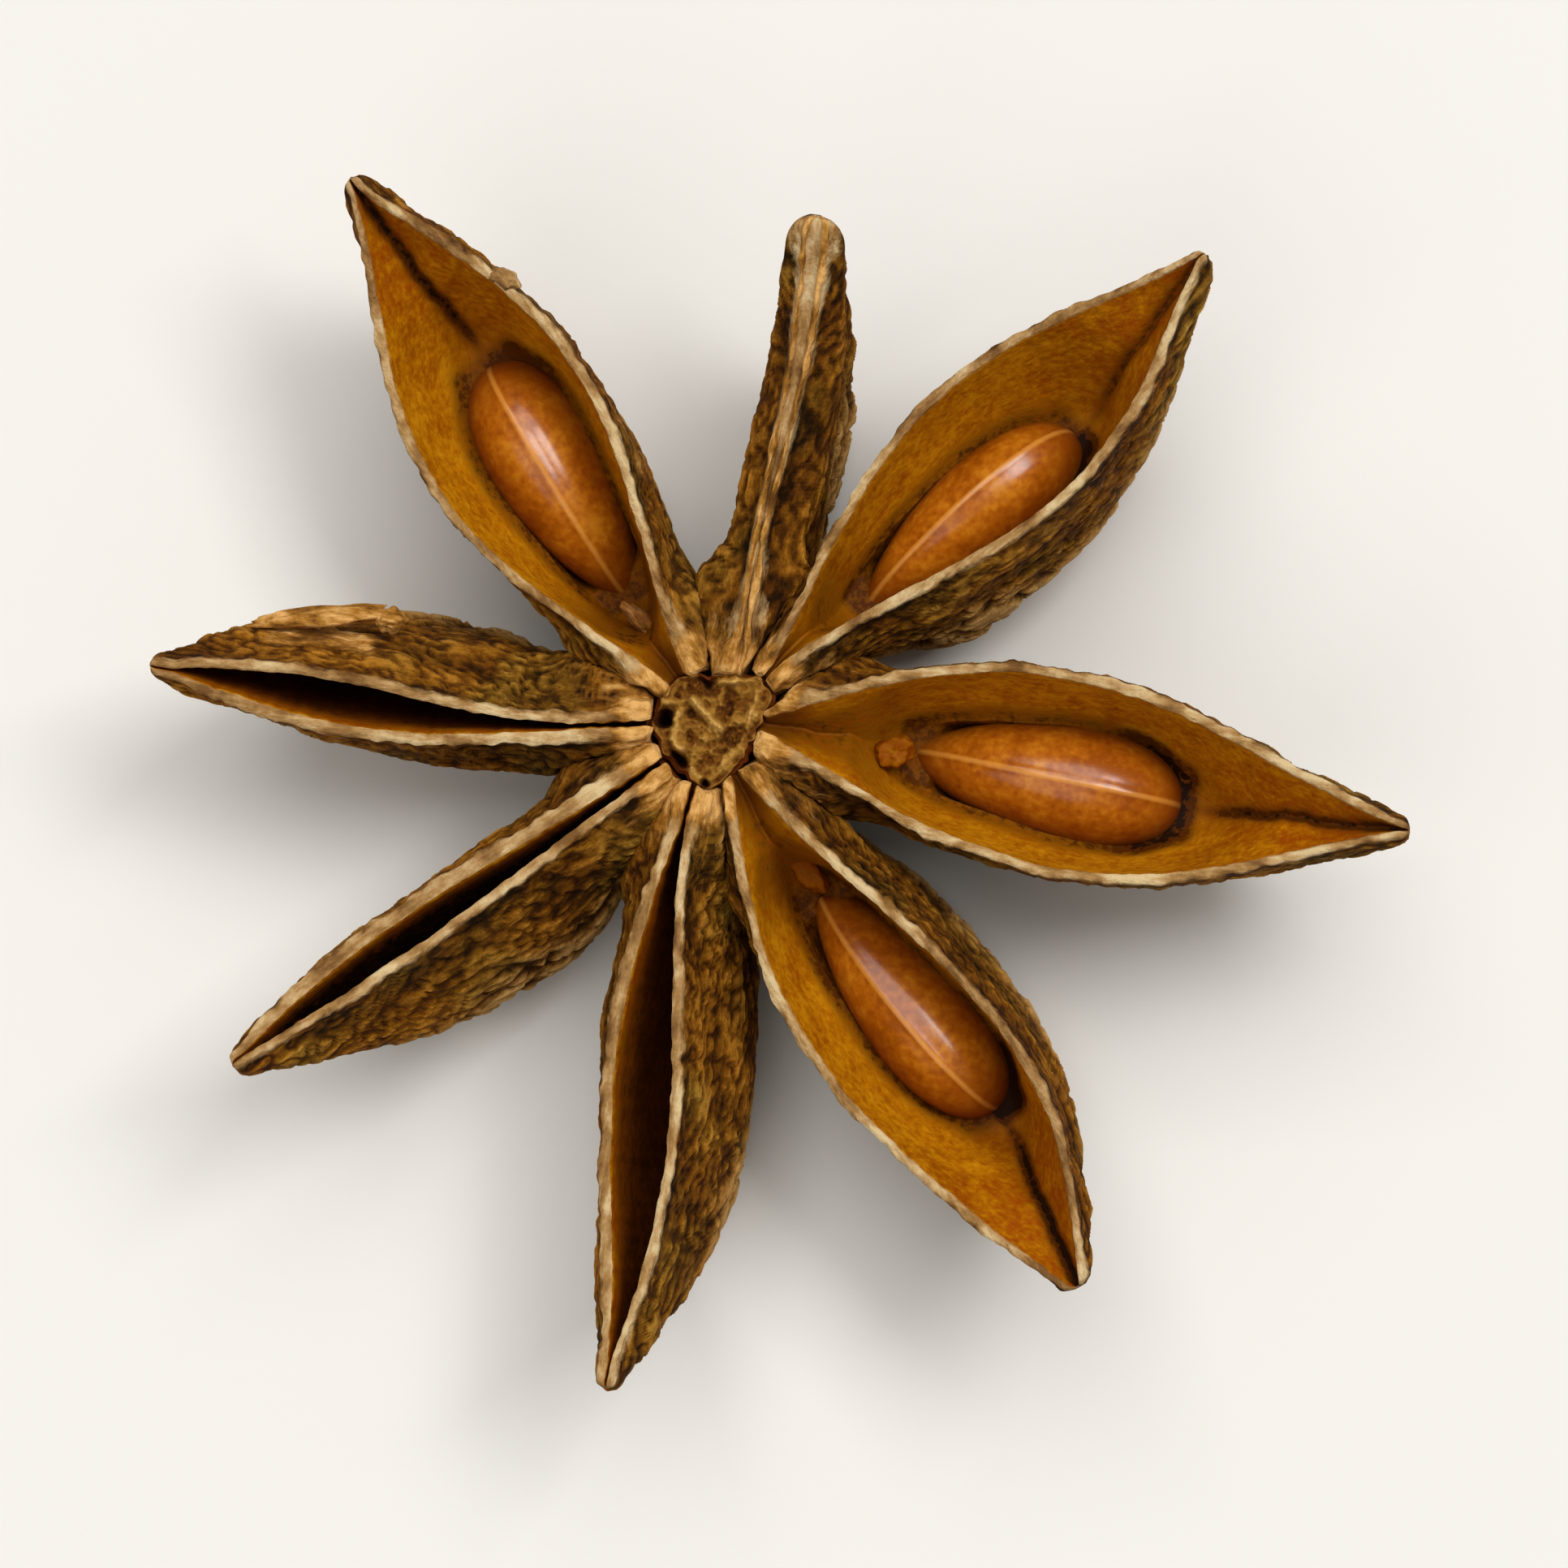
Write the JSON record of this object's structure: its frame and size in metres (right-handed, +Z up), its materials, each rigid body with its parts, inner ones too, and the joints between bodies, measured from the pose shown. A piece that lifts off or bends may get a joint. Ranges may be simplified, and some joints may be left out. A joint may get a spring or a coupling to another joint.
{
  "type": "star anise pod",
  "caption": "Dried star anise pod: boat-shaped follicles in a star round a short column, some split wide open with a glossy seed in each, others barely open or shut.",
  "frame": {"origin": "on the ground, under the middle of the star's outline", "axes": "+Z up, away from the ground and out of the open seams; +X along the star's longest extent, +Y in the plane of the star"},
  "size_m": [0.0334, 0.0322, 0.0097],
  "materials": {
    "husk": "dry, woody and wrinkled outside, satin ochre lining inside, pale cut rims",
    "seed": "hard glossy seed coat, orange-brown",
    "column": "dry and corky, matt tan"
  },
  "bodies": {
    "root": {"column": "column", "carpel_1": "husk", "carpel_2": "husk", "carpel_3": "husk", "carpel_4": "husk", "carpel_5": "husk", "carpel_6": "husk", "carpel_7": "husk", "carpel_8": "husk", "seed_1": "seed", "seed_3": "seed", "seed_4": "seed", "seed_5": "seed"}
  },
  "joints": []
}
